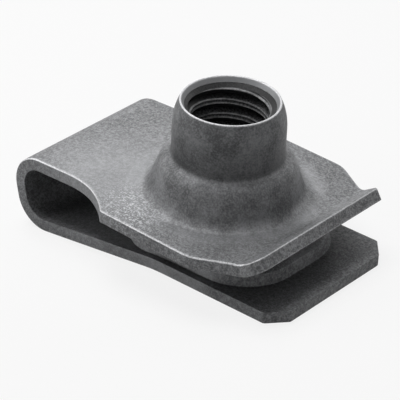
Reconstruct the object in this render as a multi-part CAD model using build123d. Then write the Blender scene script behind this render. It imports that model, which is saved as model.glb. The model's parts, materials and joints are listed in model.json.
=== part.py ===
"""Extruded U-nut: one folded spring-steel sheet with a drawn, internally threaded barrel.

The sheet is folded at the rear into two legs that clip over the edge of a panel. The wide upper leg
carries a drawn dome and a tall barrel with a 5/16-18 UNC thread. The narrow lower leg has a raised
boss with the screw's clearance hole, which snaps into the hole of the panel.

Frame: +Z runs up the screw axis and +X points to the open end. The origin is on the screw axis at
the foot of the threaded bore. Heights in this file are taken from the upper leg's top face, and the
finished solid is moved down to the origin at the end. All sizes are in millimetres.
"""
from build123d import *
from math import cos, radians, sin, sqrt, tan
import os

# Sheet
sheet = 1.14  # thickness of the spring steel
edge_break = 0.15  # rounding that the die leaves around the outer face

# Thread and barrel
thread_major = 7.938  # 5/16 in, cut to the thread's root
thread_foot = 2.9  # lower end of the threaded bore
barrel_wall = 0.98  # outside the thread's root
barrel_height = 8.9
mouth_length = 2.4  # how far below the rim the barrel starts to draw in
mouth_draw = 0.575  # how far it draws in at the rim
rim_land = 0.12  # width of the flat ring on the rim
countersink_depth = 0.45

# Dome between the barrel and the upper leg
dome_step = 2.05  # from the barrel to where the flank would meet the flat leg
flank_slope = 71  # degrees below horizontal
shoulder_slope = 28  # degrees below horizontal
shoulder_height = 3.75  # where the shoulder meets the barrel
dome_foot_bend = 0.95  # how far each bend reaches along the faces it joins
dome_crown_bend = 0.6
barrel_foot_bend = 0.3

# Upper leg in plan
upper_width = 20.6
strip_width = 15.4  # rear strip, fold and lower leg
shoulder_x = -5.35  # rear corners of the wide part
shoulder_radius = 9.0
shoulder_corner_radius = 0.4
nose_length = 3.6  # along X, where the wide part narrows to the lip
nose_inset = 2.0  # how far it narrows on each side
nose_overlap = 0.4  # how far up the lip it ends
nose_radius = 3.0
lip_left_radius = 0.4  # its +Y corner
lip_right_radius = 1.35  # its -Y corner, trimmed rounder than the other

# Upper leg in section
lip_radius = 1.8
lip_angle = 33
lip_straight = 1.45
rear_bend_radius = 12.0
rear_slope = 3.4

# Fold, with radii on the outer face
fold_x = -15.4  # where the upper leg ends and the fold begins
fold_top_radius = 3.0
fold_wall = 1.1
fold_lean = 12  # degrees that the rear wall leans forward on its way down
fold_bottom_radius = 3.1

# Lower leg
lower_rise = 9  # degrees from the fold up towards the upper leg
lower_bend_x = -2.3
lower_bend_radius = 16.0
lower_front_slope = 2
lower_front_x = 12.6
lower_corner_x = 1.55
lower_corner_y = 1.75
lower_corner_radius = 0.4

# Boss on the lower leg
boss_top = -2.65  # height of its flat top
boss_x = 1.0  # its centre
boss_length = 15.2  # flat top, along X
boss_width = 12.8
boss_corner_radius = 4.5
boss_draft = 20  # degrees from vertical
boss_edge_break = 0.4
boss_depth = 6.0  # from its top to well below the leg
screw_clearance = 0.83  # around the screw in the boss's hole

thread_radius = thread_major / 2
barrel_radius = thread_radius + barrel_wall
rim_radius = barrel_radius - mouth_draw
foot_radius = barrel_radius + dome_step
skirt_radius = foot_radius + dome_foot_bend + 0.05  # the turned part ends here, in the flat leg
lip_x = skirt_radius + 0.02  # where the lip starts to turn up
rear_x = -skirt_radius - 0.2  # where the rear strip starts to fall towards the fold
wide_half = upper_width / 2
strip_half = strip_width / 2
beyond = 2 * upper_width  # reaches past the nut on every side


def heading(degrees):
    """Unit direction in the section plane, counted from +X towards +Z."""
    return Vector(cos(radians(degrees)), sin(radians(degrees)))


def run_to_x(start, degrees, x):
    """Straight piece of the section from start to the given X."""
    return Line(start, start + heading(degrees) * ((x - start.X) / cos(radians(degrees))))


def section_path():
    """Outer face of the folded sheet in section: lip, upper leg, fold and lower leg."""
    wall_heading = 270 + fold_lean
    lip = JernArc((lip_x, 0), (1, 0), lip_radius, lip_angle)
    lip_end = Line(lip @ 1, lip @ 1 + heading(lip_angle) * lip_straight)
    flat = Line((lip_x, 0), (rear_x, 0))
    rear_bend = JernArc(flat @ 1, (-1, 0), rear_bend_radius, rear_slope)
    rear = run_to_x(rear_bend @ 1, 180 + rear_slope, fold_x)
    top_turn = wall_heading - 180 - rear_slope
    fold_top = JernArc(rear @ 1, heading(180 + rear_slope), fold_top_radius, top_turn)
    wall = Line(fold_top @ 1, fold_top @ 1 + heading(wall_heading) * fold_wall)
    bottom_turn = 360 + lower_rise - wall_heading
    fold_bottom = JernArc(wall @ 1, heading(wall_heading), fold_bottom_radius, bottom_turn)
    rise = run_to_x(fold_bottom @ 1, lower_rise, lower_bend_x)
    bend = JernArc(rise @ 1, heading(lower_rise), lower_bend_radius, lower_front_slope - lower_rise)
    front = run_to_x(bend @ 1, lower_front_slope, lower_front_x)
    pieces = [lip_end, lip, flat, rear_bend, rear, fold_top, wall, fold_bottom, rise, bend, front]
    return Wire([piece.edge() for piece in pieces])


def across(outline, width):
    """Extrudes a section outline to both sides of the middle plane."""
    return extrude(Plane.XZ * make_face(outline), amount=width / 2, both=True)


def folded_sheet():
    """The sheet folded to its section, as wide as the upper leg and not yet trimmed."""
    return across(offset(section_path(), amount=sheet, side=Side.RIGHT, closed=True), upper_width)


def inside_fold():
    """The room between the two legs, reaching halfway into the sheet."""
    path = offset(section_path(), amount=sheet / 2, side=Side.RIGHT, closed=False)
    return across(path.edges() + [Line(path @ 1, path @ 0).edge()], upper_width)


def depth(edge):
    """How far the middle of an edge lies below the outer face of the folded sheet."""
    middle = edge @ 0.5
    return section_path().distance_to(Vector(middle.X, middle.Z))


def mirrored_plan(outline, rounded):
    """Plan face from its +Y half, with the corners at the rounded points filleted on both sides."""
    half = [piece.edge() for piece in outline]
    plan = make_face(half + [mirror(edge, Plane.XZ) for edge in half])
    for point, radius in rounded:
        x, y = point.X, point.Y
        corners = [v for v in plan.vertices() if abs(v.X - x) < 0.01 and abs(abs(v.Y) - y) < 0.01]
        plan = fillet(corners, radius)
    return plan


def upper_plan():
    """Upper leg from above, with its swept shoulders and its narrowed nose."""
    spread = wide_half - strip_half
    shoulder_run = sqrt(spread * (2 * shoulder_radius - spread))
    shoulder_start = (shoulder_x - shoulder_run, strip_half)
    front = Line((beyond, 0), (beyond, wide_half - nose_inset))
    lip_side = Line(front @ 1, (lip_x + nose_overlap, wide_half - nose_inset))
    narrowing = Line(lip_side @ 1, (lip_x + nose_overlap - nose_length, wide_half))
    side = Line(narrowing @ 1, (shoulder_x, wide_half))
    shoulder = TangentArc([shoulder_start, side @ 1], tangent=(1, 0))
    strip = Line(shoulder_start, (-beyond, strip_half))
    rear = Line(strip @ 1, (-beyond, 0))
    outline = [front, lip_side, narrowing, side, shoulder, strip, rear]
    rounded = [(lip_side @ 1, nose_radius), (narrowing @ 1, nose_radius), (side @ 1, shoulder_corner_radius)]
    return mirrored_plan(outline, rounded)


def lower_plan():
    """Fold and lower leg from above."""
    front = Line((lower_front_x, 0), (lower_front_x, strip_half - lower_corner_y))
    corner = Line(front @ 1, (lower_front_x - lower_corner_x, strip_half))
    side = Line(corner @ 1, (-beyond, strip_half))
    rear = Line(side @ 1, (-beyond, 0))
    rounded = [(front @ 1, lower_corner_radius), (corner @ 1, lower_corner_radius)]
    return mirrored_plan([front, corner, side, rear], rounded)


def trimmed_sheet():
    """The folded sheet cut to its two outlines, with rounded lip corners and broken outer edges."""
    split = (boss_top - sheet) / 2
    trim = extrude(Pos(0, 0, split) * upper_plan(), amount=beyond)
    body = folded_sheet() & (trim + extrude(Pos(0, 0, split) * lower_plan(), amount=-beyond))

    def lip_corners():
        """The lip's edges that run through the sheet, from the -Y side to the +Y side."""
        through = [edge for edge in body.edges() if abs(edge.length - sheet) < 0.01]
        on_lip = [edge for edge in through if (edge @ 0.5).X > lip_x and (edge @ 0.5).Z > split]
        return sorted(on_lip, key=lambda edge: (edge @ 0.5).Y)

    body = fillet(lip_corners()[-1], lip_left_radius)
    body = fillet(lip_corners()[0], lip_right_radius)
    return fillet(body.edges().filter_by(lambda edge: depth(edge) < 0.01), edge_break)


def boss_block(inset):
    """Drafted block with rounded corners: the boss's outside, or its hollow when inset by the sheet."""
    top = Plane.XY.offset(boss_top - inset)
    shrink = inset * tan(radians(45 - boss_draft / 2))
    plan = RectangleRounded(boss_length - 2 * shrink, boss_width - 2 * shrink, boss_corner_radius - shrink)
    block = extrude(top * Pos(boss_x, 0) * plan, amount=-boss_depth)
    return draft([face for face in block.faces() if abs(face.normal_at().Z) < 0.5], top, boss_draft)


def with_boss(body):
    """Raises the boss on the lower leg, hollow underneath, and cuts the clearance hole through it."""
    block = boss_block(0)
    block = chamfer(block.faces().sort_by(Axis.Z)[-1].edges(), boss_edge_break)
    hole = Cylinder(thread_radius + screw_clearance, beyond, align=(Align.CENTER, Align.CENTER, Align.MAX))
    return body + (block & inside_fold()) - boss_block(sheet) - Pos(0, 0, boss_top) * hole


def dome_crown(inset):
    """Where the dome's flank meets its shoulder, on the face that lies inset below the outside."""
    f, s = radians(flank_slope), radians(shoulder_slope)
    flank = foot_radius * sin(f) - inset
    shoulder = barrel_radius * sin(s) + shoulder_height * cos(s) - inset
    across_axis, up_axis = flank * cos(s) - shoulder * cos(f), shoulder * sin(f) - flank * sin(s)
    return Vector(across_axis, up_axis) / sin(f - s)


def bent(*corners):
    """Edges through the corners, given as (point, bend): each one turns smoothly over its bend's length."""
    points = [Vector(point) for point, bend in corners]
    edges, start = [], points[0]
    for i in range(1, len(corners)):
        point, bend = points[i], corners[i][1]
        if bend:
            turn_in = point + (points[i - 1] - point).normalized() * bend
            turn_out = point + (points[i + 1] - point).normalized() * bend
            edges += [Line(start, turn_in).edge(), Bezier(turn_in, point, turn_out).edge()]
            start = turn_out
        else:
            edges.append(Line(start, point).edge())
            start = point
    return edges


def turned(edges):
    """Solid turned about the screw axis from the edges of a section."""
    return revolve(Plane.XZ * make_face(edges), Axis.Z)


def dome_and_barrel():
    """Outside of the dome and the barrel, solid within."""
    mouth_foot, rim = Vector(barrel_radius, barrel_height - mouth_length), Vector(rim_radius, barrel_height)
    mouth = TangentArc([mouth_foot, rim], tangent=(0, 1))
    outside = bent(
        ((0, barrel_height), 0), ((0, -sheet), 0), ((skirt_radius, -sheet), 0), ((skirt_radius, 0), 0),
        ((foot_radius, 0), dome_foot_bend), (dome_crown(0), dome_crown_bend),
        ((barrel_radius, shoulder_height), barrel_foot_bend), (mouth_foot, 0),
    )
    return turned(outside + [mouth.edge(), Line(rim, (0, barrel_height)).edge()])


def barrel_hollow():
    """Space inside the dome and the barrel: drawn bell, threaded bore and countersink."""
    rise = sheet * tan(radians(flank_slope / 2))
    mouth = rim_radius - rim_land
    above, below = barrel_height + sheet, -1.5 * sheet
    return turned(bent(
        ((0, above), 0), ((0, below), 0), ((skirt_radius, below), 0), ((skirt_radius, -sheet), 0),
        ((foot_radius - rise, -sheet), dome_foot_bend + rise), (dome_crown(sheet), 0),
        ((thread_radius, thread_foot), 0), ((thread_radius, barrel_height - countersink_depth), 0),
        ((mouth, barrel_height), 0), ((mouth, above), 0), ((0, above), 0),
    ))


nut = with_boss(trimmed_sheet()) + dome_and_barrel() - barrel_hollow()
os.makedirs("parts", exist_ok=True)
export_step(Pos(0, 0, -thread_foot) * nut, "parts/u_nut.step")
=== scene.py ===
"""Looks of the extruded U-nut: phosphated spring steel, the barrel's thread, and the studio round it.

Everything is in metres, in the frame of the CAD model: +Z up the screw axis and +X to the open end,
from an origin at the foot of the threaded bore. Coordinates inside the materials are in millimetres.
"""

import json
from functools import reduce
from math import cos, pi, radians, sin

import bmesh
import bpy
import numpy as np
from mathutils import Matrix, Vector


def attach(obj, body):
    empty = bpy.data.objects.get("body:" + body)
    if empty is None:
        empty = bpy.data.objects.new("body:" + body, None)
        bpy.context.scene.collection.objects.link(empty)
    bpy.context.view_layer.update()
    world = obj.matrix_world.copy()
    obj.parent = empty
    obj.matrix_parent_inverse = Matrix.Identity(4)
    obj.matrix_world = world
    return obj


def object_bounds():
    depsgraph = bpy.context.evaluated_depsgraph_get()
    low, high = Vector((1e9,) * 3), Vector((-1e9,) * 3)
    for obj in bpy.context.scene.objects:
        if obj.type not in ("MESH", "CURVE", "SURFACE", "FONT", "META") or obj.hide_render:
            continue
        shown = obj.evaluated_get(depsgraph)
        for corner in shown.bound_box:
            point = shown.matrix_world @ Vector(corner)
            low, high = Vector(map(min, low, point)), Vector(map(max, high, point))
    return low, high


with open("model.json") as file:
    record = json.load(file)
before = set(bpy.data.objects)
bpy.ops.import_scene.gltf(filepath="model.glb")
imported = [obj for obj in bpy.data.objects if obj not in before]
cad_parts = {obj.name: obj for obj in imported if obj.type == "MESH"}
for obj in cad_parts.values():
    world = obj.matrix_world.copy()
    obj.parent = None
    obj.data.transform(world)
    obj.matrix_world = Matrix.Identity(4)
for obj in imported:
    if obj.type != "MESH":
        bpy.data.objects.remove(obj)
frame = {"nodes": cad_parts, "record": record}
cad_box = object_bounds()
nut = frame["nodes"]["u_nut"]
bore = next(m for m in frame["record"]["mounts"] if m["name"] == "thread")["dims"]
MM = 0.001

# Places on the nut, in millimetres
RIM_Z = cad_box[1][2] / MM  # the barrel's top
BORE_RADIUS = bore["r_mm"]
BORE_LENGTH = bore["length_mm"]  # the countersink starts at its end
COUNTERSINK_RADIUS = 4.25  # at the rim
BARREL_RADIUS = 4.95
BARREL_FOOT_Z = 0.85  # where it rises from the dome's shoulder
DOME_RADIUS = 7.0  # where the dome's flank meets the upper leg
PLATE_Z = -2.9  # the upper leg's top face
GAP_Z = -4.45  # between the upper and the lower leg
LIP_X = 9.1  # where the front lip has finished turning up
LIP_ANGLE = radians(33)
FOLD_X = -13.0  # a little in front of the fold

# Finish, in millimetres
PATCH_PLACE = (-3.4, -7.2, PLATE_Z)  # speckled with wear, beside the dome
LIGHTER_AREA_PLACE = (-8.5, -4.5, PLATE_Z)
EDGE_WEAR_AND_HIGHLIGHT = 0.3  # how far the wear and the painted highlight reach in from an edge
EDGE_ROUNDING = 0.12  # in the shading only
RECESS_REACH = 7.0  # how near the walls of a recess have to be for its painted shade
MOAT_RADIUS = DOME_RADIUS - 0.1  # a hollow in the shading, which softens the dome's foot
MOAT_WIDTH = 1.0
MOAT_DEPTH = 0.15

# Greys of the steel, as the shader takes them
PHOSPHATE_DARK = 0.11
PHOSPHATE_LIGHT = 0.25
# bright steel, also the colour of the painted highlight on the edges
BARE_STEEL_AND_HIGHLIGHT = 0.75
# the darkest grey: painted shade in the recesses, the barrel's darker foot, dirt streaks
DARKEST_GREY = 0.012


class Nodes:
    """Small helper to write a node tree as plain calls."""

    def __init__(self, tree):
        tree.nodes.clear()
        self.tree = tree

    def add(self, kind, inputs=(), **settings):
        node = self.tree.nodes.new(kind)
        for name, value in settings.items():
            setattr(node, name, value)
        for name, value in dict(inputs).items():
            if isinstance(value, bpy.types.NodeSocket):
                self.tree.links.new(value, node.inputs[name])
            else:
                node.inputs[name].default_value = value
        return node

    def noise(self, coords, per_mm, detail, roughness, stretch=(1, 1, 1)):
        """Noise with that many features a millimetre, from 0 to 1, for coordinates in millimetres."""
        scaled = self.add("ShaderNodeMapping", {"Vector": coords, "Scale": stretch})
        node = self.add(
            "ShaderNodeTexNoise",
            {"Vector": scaled.outputs[0], "Scale": per_mm, "Detail": detail, "Roughness": roughness},
        )
        return node.outputs["Fac"]

    def span(self, value, low, high, to_low, to_high, kind="LINEAR"):
        """Maps low..high to to_low..to_high and holds it there."""
        node = self.add(
            "ShaderNodeMapRange",
            {"Value": value, "From Min": low, "From Max": high, "To Min": to_low, "To Max": to_high},
            interpolation_type=kind,
        )
        return node.outputs["Result"]

    def hump(self, value, low, high):
        """1 halfway between low and high, falling smoothly to 0 at both."""
        middle = (low + high) / 2
        up = self.span(value, low, middle, 0, 1, "SMOOTHSTEP")
        return self.times(up, self.span(value, middle, high, 1, 0, "SMOOTHSTEP"))

    def math(self, operation, a, b=0.0):
        return self.add("ShaderNodeMath", {0: a, 1: b}, operation=operation).outputs[0]

    def plus(self, *values):
        return reduce(lambda a, b: self.math("ADD", a, b), values)

    def times(self, *values):
        return reduce(lambda a, b: self.math("MULTIPLY", a, b), values)

    def largest(self, *values):
        return reduce(lambda a, b: self.math("MAXIMUM", a, b), values)

    def vector(self, operation, inputs, output="Value"):
        return self.add("ShaderNodeVectorMath", inputs, operation=operation).outputs[output]

    def blend(self, factor, a, b):
        """Colour a where factor is 0, b where it is 1."""
        return self.add("ShaderNodeMix", {0: factor, 6: a, 7: b}, data_type="RGBA").outputs[2]


def new_material(name):
    """A material, and the helper that writes its node tree."""
    material = bpy.data.materials.new(name)
    material.use_nodes = True
    return material, Nodes(material.node_tree)


def put(name, data):
    """Adds an object with that data to the scene."""
    thing = bpy.data.objects.new(name, data)
    bpy.context.scene.collection.objects.link(thing)
    return thing


# Steel

def grey(value, warmth=0.0):
    """A near-neutral colour, a touch blue as phosphated steel is. Warmth takes some of the blue away."""
    return (value * (0.985 + warmth), value, value * (1.03 - warmth), 1.0)


def surface_place(n):
    """Coordinates in the nut's frame, with x, z and the distance from the screw axis, in millimetres."""
    coords = n.add("ShaderNodeTexCoord").outputs["Object"]
    coords = n.vector("SCALE", {0: coords, "Scale": 1 / MM}, "Vector")
    x, y, z = n.add("ShaderNodeSeparateXYZ", {0: coords}).outputs
    flat = n.add("ShaderNodeCombineXYZ", {0: x, 1: y, 2: 0.0}).outputs[0]
    return coords, x, z, n.vector("LENGTH", {0: flat})


def steel_surface(n, colour, roughness, normal):
    """Both steels shine alike, between bare metal and a dull coating."""
    steel = n.add(
        "ShaderNodeBsdfPrincipled",
        {"Base Color": colour, "Roughness": roughness, "Normal": normal,
         "Metallic": 0.4, "Specular IOR Level": 0.25},
    )
    n.add("ShaderNodeOutputMaterial", {"Surface": steel.outputs[0]})


def worn_and_highlit_edges(n, x, z, radius):
    """The outer face's broken edges, the fold's sides and the barrel's rim: partly steel worn bare by
    handling, partly painted highlight where the rounded edges catch the light, so on the upper leg only the
    edges facing up get it.
    """
    normal = n.add("ShaderNodeNewGeometry").outputs["Normal"]
    _, ny, nz = n.add("ShaderNodeSeparateXYZ", {0: normal}).outputs
    ny = n.math("ABSOLUTE", ny)
    upper_leg = n.span(z, GAP_Z - 0.15, GAP_Z + 0.15, 0, 1)

    # A broken edge faces between the two faces that it joins.
    side = n.times(
        n.hump(nz, 0.06, 1.1),
        n.span(ny, 0.05, 0.3, 0, 1),
        n.span(radius, DOME_RADIUS + 1.0, DOME_RADIUS + 1.6, 0, 1),
        n.span(x, LIP_X - 0.1, LIP_X + 0.1, 1, 0),
    )
    lean = n.vector("DOT_PRODUCT", {0: normal, 1: (-sin(LIP_ANGLE), 0, cos(LIP_ANGLE))})
    lip = n.times(n.hump(lean, 0.06, 1.05), n.span(x, LIP_X - 0.1, LIP_X + 0.1, 0, 0.55))
    sheet = n.times(n.largest(side, lip), upper_leg)
    fold = n.times(n.hump(ny, 0.1, 0.99), n.span(x, FOLD_X - 0.5, FOLD_X + 0.5, 1, 0))

    # The wear and the painted highlight also run a little way in from each edge, on faces turned upward.
    rounded = n.add("ShaderNodeBevel", {"Radius": EDGE_WEAR_AND_HIGHLIGHT * MM}, samples=6).outputs[0]
    near = n.times(
        n.span(n.vector("DOT_PRODUCT", {0: rounded, 1: normal}), 0.985, 0.9, 0, 0.8),
        n.span(nz, 0.3, 0.6, 0, 1),
        upper_leg,
        n.span(x, LIP_X - 1.1, LIP_X + 0.4, 1, 0.5),
    )
    rim = n.span(z, RIM_Z - 0.1, RIM_Z - 0.04, 0, 0.8)
    return n.largest(sheet, near, fold, rim)


def phosphated_steel(name):
    """Dark phosphate on spring steel: crystalline grain, soft clouds, worn and highlit edges, painted shade
    in the recesses.
    """
    material, n = new_material(name)
    coords, x, z, radius = surface_place(n)
    coarse = n.noise(coords, 2.8, detail=2.0, roughness=0.6)
    fine = n.noise(coords, 6.5, detail=1.0, roughness=0.5)
    clouds = n.noise(coords, 0.4, detail=3.0, roughness=0.55)
    streaks = n.noise(coords, 2.2, detail=2.0, roughness=0.5, stretch=(1, 1, 0.08))

    # Zones of the nut: 1 inside, 0 outside
    above_bore = n.span(z, BORE_LENGTH - 0.1, BORE_LENGTH + 0.05, 0, 1)
    in_countersink = n.span(radius, COUNTERSINK_RADIUS + 0.02, COUNTERSINK_RADIUS + 0.06, 1, 0)
    in_bore = n.span(radius, BORE_RADIUS + 0.13, BORE_RADIUS + 0.18, 1, 0)
    countersink = n.times(above_bore, in_countersink)
    bore_wall = n.times(n.math("SUBTRACT", 1.0, above_bore), in_bore)
    barrel = n.times(
        n.span(radius, BARREL_RADIUS + 0.05, BARREL_RADIUS + 0.25, 1, 0),
        n.span(z, BARREL_FOOT_Z - 0.15, BARREL_FOOT_Z + 0.15, 0, 1),
    )
    drawn = n.span(radius, DOME_RADIUS, DOME_RADIUS + 1.2, 1, 0)
    plate = n.math("SUBTRACT", 1.0, drawn)

    def by_zone(on_plate, on_drawn):
        """One value on the flat plate and another on the drawn dome and barrel."""
        return n.span(drawn, 0, 1, on_plate, on_drawn)

    def spot(place, inner, outer):
        """1 within the inner radius of a place on the plate, falling smoothly to 0 at the outer one."""
        away = n.vector("DISTANCE", {0: coords, 1: place})
        return n.times(n.span(away, inner, outer, 1, 0, "SMOOTHSTEP"), plate)

    # Marks: a speckled patch of wear; a lighter area on the plate's left; a lighter ring round the dome's
    # foot, partly painted highlight on its bend and partly steel burnished by the die; and the worn and
    # highlit edges
    patch = spot(PATCH_PLACE, inner=1.0, outer=4.6)
    lighter_area = spot(LIGHTER_AREA_PLACE, inner=2.0, outer=10.0)
    foot_ring_highlight_and_burnish = n.times(
        n.hump(radius, DOME_RADIUS - 0.4, DOME_RADIUS + 2.4),
        n.span(z, PLATE_Z - 0.05, PLATE_Z + 0.2, 1, 0.3),
        n.span(clouds, 0.35, 0.6, 0.4, 1.0),
    )
    speckle = n.plus(n.times(fine, 0.6), n.times(coarse, 0.4))
    flecks = n.times(n.span(speckle, 0.5, 0.6, 0, 1), n.span(patch, 0, 1, 0.06, 1.0))
    edge = n.times(worn_and_highlit_edges(n, x, z, radius), n.span(fine, 0.3, 0.55, 0.6, 1.0))

    # Painted shade in the recesses, where ambient occlusion finds walls close by; the barrel darker towards
    # its foot; dirt in streaks up the barrel
    open_sky = n.add("ShaderNodeAmbientOcclusion", {"Distance": RECESS_REACH * MM}, samples=8).outputs["AO"]
    up_barrel = n.span(z, BARREL_FOOT_Z - 0.25, RIM_Z - 1.0, 0.5, 0.85)
    free_of_shade_and_dirt = n.times(
        n.span(open_sky, 0.15, 0.8, 0.35, 1.0),
        n.span(barrel, 0, 1, 1.0, up_barrel),
        n.span(n.times(streaks, barrel), 0, 0.7, 1.0, 0.85),
    )

    tone = n.plus(
        n.times(coarse, by_zone(0.35, 0.15)),
        n.times(fine, by_zone(0.45, 0.3)),
        n.times(clouds, by_zone(0.2, 0.55)),
    )
    colour = n.blend(n.span(tone, 0.4, 0.6, 0, 1), grey(PHOSPHATE_DARK), grey(PHOSPHATE_LIGHT))
    # A lighter area on the plate's left side.
    colour = n.blend(n.times(lighter_area, 0.5), colour, grey(PHOSPHATE_LIGHT * 1.35))
    # Painted highlight, partly die burnish: the lighter ring round the dome's foot.
    colour = n.blend(n.times(foot_ring_highlight_and_burnish, 0.55), colour, grey(PHOSPHATE_LIGHT * 1.5))
    colour = n.blend(n.times(flecks, 0.75), colour, grey(BARE_STEEL_AND_HIGHLIGHT * 0.75))
    # Painted shade in the recesses, the barrel darker towards its foot, and dirt in streaks up the barrel.
    colour = n.blend(free_of_shade_and_dirt, grey(DARKEST_GREY), colour)
    colour = n.blend(n.times(bore_wall, 0.8), colour, grey(0.02))
    colour = n.blend(countersink, colour, grey(PHOSPHATE_LIGHT * 1.1))
    # Worn edges, partly painted highlight: they go to bright steel.
    colour = n.blend(edge, colour, grey(BARE_STEEL_AND_HIGHLIGHT, warmth=0.01))
    roughness = n.math("SUBTRACT", n.span(coarse, 0.3, 0.7, 0.62, 0.5), n.times(edge, 0.2))

    # Relief, in millimetres: the crystals less the moat
    across = n.math("DIVIDE", n.math("SUBTRACT", radius, MOAT_RADIUS), MOAT_WIDTH)
    moat = n.math("EXPONENT", n.times(across, across, -1.0))
    crystals = n.times(n.plus(n.times(coarse, 0.6), n.times(fine, 0.4)), by_zone(0.040, 0.012))
    relief = n.math("SUBTRACT", crystals, n.times(moat, MOAT_DEPTH))
    rounded = n.add("ShaderNodeBevel", {"Radius": EDGE_ROUNDING * MM}, samples=8).outputs[0]
    bump = n.add(
        "ShaderNodeBump", {"Height": relief, "Normal": rounded, "Strength": 1.0, "Distance": 1 * MM}
    )
    steel_surface(n, colour, roughness, bump.outputs[0])
    return material


def thread_steel(name):
    """Dark flanks and roots, darker still at the top of the thread, with lighter crests."""
    material, n = new_material(name)
    coords, _, z, radius = surface_place(n)
    grain = n.noise(coords, 6.0, detail=2.0, roughness=0.6)
    patches = n.noise(coords, 0.9, detail=2.0, roughness=0.5)
    lead_in = n.span(z, BORE_LENGTH - 1.45, BORE_LENGTH - 1.05, 0, 1)

    # The crest is the innermost part of the ridge. In the lead-in, where it is chamfered, it is taken wider.
    inward = n.math("SUBTRACT", radius, n.times(lead_in, 0.1))
    crest = n.times(
        n.span(inward, BORE_RADIUS - 0.58, BORE_RADIUS - 0.5, 1, 0),
        n.span(patches, 0.3, 0.6, 0.3, 0.7),
        n.span(grain, 0.35, 0.6, 0.5, 1.0),
    )
    colour = n.blend(n.span(grain, 0.38, 0.62, 0, 1), grey(0.02), grey(0.1))
    colour = n.blend(n.times(lead_in, 0.8), colour, grey(DARKEST_GREY))
    colour = n.blend(crest, colour, grey(BARE_STEEL_AND_HIGHLIGHT * 0.6, warmth=0.01))
    bump = n.add("ShaderNodeBump", {"Height": grain, "Strength": 1.0, "Distance": 0.008 * MM})
    steel_surface(n, colour, n.span(crest, 0, 1, 0.5, 0.36), bump.outputs[0])
    return material


# Thread

THREADS_PER_INCH = 18
THREAD_HEIGHT = 0.6  # millimetres
THREAD_PHASE = radians(70)  # turns the helix about the screw axis


def thread_ridge(wall_radius, length, pitch, height):
    """Right-handed ridge of the thread, closed, with the split crest that a forming tap leaves.

    It is chamfered at both ends of the bore, and its foot lies just inside the barrel's wall.
    """
    foot = 0.02 * MM
    half_base = 0.56 * MM
    half_crest = 0.235 * MM
    split_depth, split_half = 0.16 * MM, 0.15 * MM
    chamfer_below, chamfer_above = 0.9, 1.4  # height gained for each step along the axis
    thinnest = 0.03 * MM
    steps = 96  # to a turn
    points = 23  # across the ridge

    mesh = bmesh.new()
    rings = []
    for i in range(int((length + 2 * half_base) / pitch * steps) + 1):
        angle = THREAD_PHASE + 2 * pi * i / steps
        middle = -half_base + pitch * i / steps
        low, high = max(-half_base, -middle), min(half_base, length - middle)
        if high - low < thinnest:
            continue
        across = np.linspace(low, high, points)
        profile = height * np.clip((half_base - np.abs(across)) / (half_base - half_crest), 0, 1)
        profile = profile - split_depth * np.clip(1 - (np.abs(across) / split_half) ** 2, 0, 1)
        z = middle + across
        chamfer = np.minimum(z * chamfer_below, (length - z) * chamfer_above)
        radius = wall_radius + foot - np.clip(np.minimum(profile, chamfer), 0, None)
        rings.append([mesh.verts.new((r * cos(angle), r * sin(angle), h)) for r, h in zip(radius, z)])

    for ring, following in zip(rings, rings[1:]):
        for j in range(points):
            k = (j + 1) % points
            mesh.faces.new((ring[j], following[j], following[k], ring[k]))
    mesh.faces.new(rings[0])
    mesh.faces.new(list(reversed(rings[-1])))
    bmesh.ops.recalc_face_normals(mesh, faces=mesh.faces)
    for face in mesh.faces:
        face.smooth = True
    data = bpy.data.meshes.new("thread")
    mesh.to_mesh(data)
    mesh.free()
    return put("thread", data)


ridge = thread_ridge(
    BORE_RADIUS * MM, BORE_LENGTH * MM, pitch=25.4 / THREADS_PER_INCH * MM, height=THREAD_HEIGHT * MM
)
ridge.data.materials.append(thread_steel("thread_steel"))
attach(ridge, "root")

nut.data.materials.clear()
nut.data.materials.append(phosphated_steel("nut_steel"))


# Floor and backdrop

def on_or_above(b, a, p):
    """Whether b lies on or above the line from a to p."""
    return (b[0] - a[0]) * (p[1] - a[1]) <= (b[1] - a[1]) * (p[0] - a[0])


def resting_line(node):
    """Line in X and Z that the nut stands on, from the fold's underside to the lower leg's front."""
    hull = []
    for p in sorted({(round(v.co.x, 6), round(v.co.z, 6)) for v in node.data.vertices}):
        while len(hull) > 1 and on_or_above(hull[-1], hull[-2], p):
            hull.pop()
        hull.append(p)
    return next((a, b) for a, b in zip(hull, hull[1:]) if a[0] < 0 < b[0])


def floor_sheet(node):
    """Pale sheet that slopes up under the nut, so that it rests on its fold and its lower leg."""
    margin = 0.012  # how far the slope runs on past the two places where the nut touches it
    ease = 0.03  # over which the slope turns level
    edge = 1.5  # half the sheet's width and length
    (x0, z0), (x1, z1) = resting_line(node)
    slope = (z1 - z0) / (x1 - x0)
    x_low, x_high = x0 - margin, x1 + margin

    def height(x):
        inside = min(max(x, x_low), x_high)
        over = min(abs(x - inside), ease)
        outward = slope if x > inside else -slope
        return z0 + slope * (inside - x0) + outward * (over - over * over / (2 * ease))

    lines = [
        -edge,
        *np.linspace(x_low - ease, x_low, 13),
        *np.linspace(x_low, x_high, 5)[1:-1],
        *np.linspace(x_high, x_high + ease, 13),
        edge,
    ]
    data = bpy.data.meshes.new("floor")
    verts = [(x, y, height(x)) for x in lines for y in (-edge, edge)]
    faces = [(2 * i, 2 * i + 2, 2 * i + 3, 2 * i + 1) for i in range(len(lines) - 1)]
    data.from_pydata(verts, [], faces)
    data.polygons.foreach_set("use_smooth", [True] * len(faces))
    return put("floor", data)


def seen_directly(n):
    """1 for rays from the camera, from gloss and through glass, and 0 for light that falls on things."""
    path = n.add("ShaderNodeLightPath").outputs
    return n.largest(path["Is Camera Ray"], path["Is Glossy Ray"], path["Is Transmission Ray"])


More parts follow.
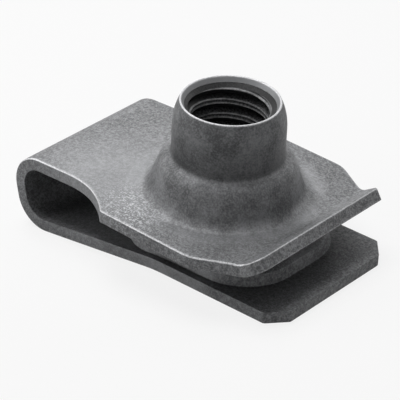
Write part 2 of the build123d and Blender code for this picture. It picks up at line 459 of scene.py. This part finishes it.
def pale_floor():
    """Paper that shows nearly white and keeps a faint shadow of the nut."""
    material, n = new_material("pale_floor")
    paper = n.add("ShaderNodeBsdfDiffuse", {"Color": (0.8, 0.8, 0.8, 1)})
    white = n.add("ShaderNodeEmission", {"Color": (1, 1, 1, 1), "Strength": 1.0})
    share = n.times(seen_directly(n), 0.85)
    mixed = n.add("ShaderNodeMixShader", {0: share, 1: paper.outputs[0], 2: white.outputs[0]})
    n.add("ShaderNodeOutputMaterial", {"Surface": mixed.outputs[0]})
    return material


def white_backdrop():
    """White where the camera or gloss sees it. Only the lamps throw light on things."""
    world = bpy.data.worlds.new("studio")
    world.use_nodes = True
    n = Nodes(world.node_tree)
    sky = n.add("ShaderNodeBackground", {"Color": (1, 1, 1, 1), "Strength": seen_directly(n)})
    n.add("ShaderNodeOutputWorld", {"Surface": sky.outputs[0]})
    return world


floor = floor_sheet(nut)
floor.data.materials.append(pale_floor())
bpy.context.scene.world = white_backdrop()


# Lamps

NEAR = {"distance": 0.17, "size": 0.09}
FAR = {"distance": 0.35, "size": 0.16}


def softbox(name, azimuth, elevation, power, distance, size):
    """Square area lamp aimed at the nut. Azimuth runs anticlockwise from +X, seen from above."""
    data = bpy.data.lights.new(name, "AREA")
    data.shape = "SQUARE"
    data.size = size
    data.energy = power
    lamp = put(name, data)
    a, e = radians(azimuth), radians(elevation)
    out = Vector((cos(a) * cos(e), sin(a) * cos(e), sin(e)))
    lamp.location = out * distance
    lamp.rotation_euler = out.to_track_quat("Z", "Y").to_euler()


softbox("key", 180, 70, power=0.178, **NEAR)
softbox("back", 150, 45, power=0.056, **NEAR)
softbox("left", 210, 20, power=0.050, **NEAR)
softbox("back low", 138, 13, power=0.105, **FAR)
softbox("front low", 225, 12, power=0.105, **FAR)
softbox("rim", 82, 24, power=0.18, **FAR)


# Camera

def camera(azimuth, elevation, roll, distance, target, focal):
    """Camera that looks at target. Azimuth runs anticlockwise from -Y, and focal is in picture widths."""
    a, e, r = radians(azimuth), radians(elevation), radians(roll)
    back = Vector((sin(a) * cos(e), -cos(a) * cos(e), sin(e)))
    level = Vector((cos(a), sin(a), 0))
    up = back.cross(level)
    right, top = level * cos(r) + up * sin(r), up * cos(r) - level * sin(r)
    data = bpy.data.cameras.new("camera")
    data.sensor_width = 36.0
    data.lens = 36.0 * focal
    data.clip_start, data.clip_end = 0.01, 10.0
    eye = put("camera", data)
    place = Matrix((right, top, back)).transposed().to_4x4()
    place.translation = Vector(target) + back * distance
    eye.matrix_world = place
    return eye


bpy.context.scene.camera = camera(
    azimuth=40.07,
    elevation=32.187,
    roll=2.628,
    distance=196.51 * MM,
    target=(-0.418 * MM, -2.964 * MM, PLATE_Z * MM),
    focal=5.69646,
)
bpy.context.scene.view_settings.view_transform = "Standard"
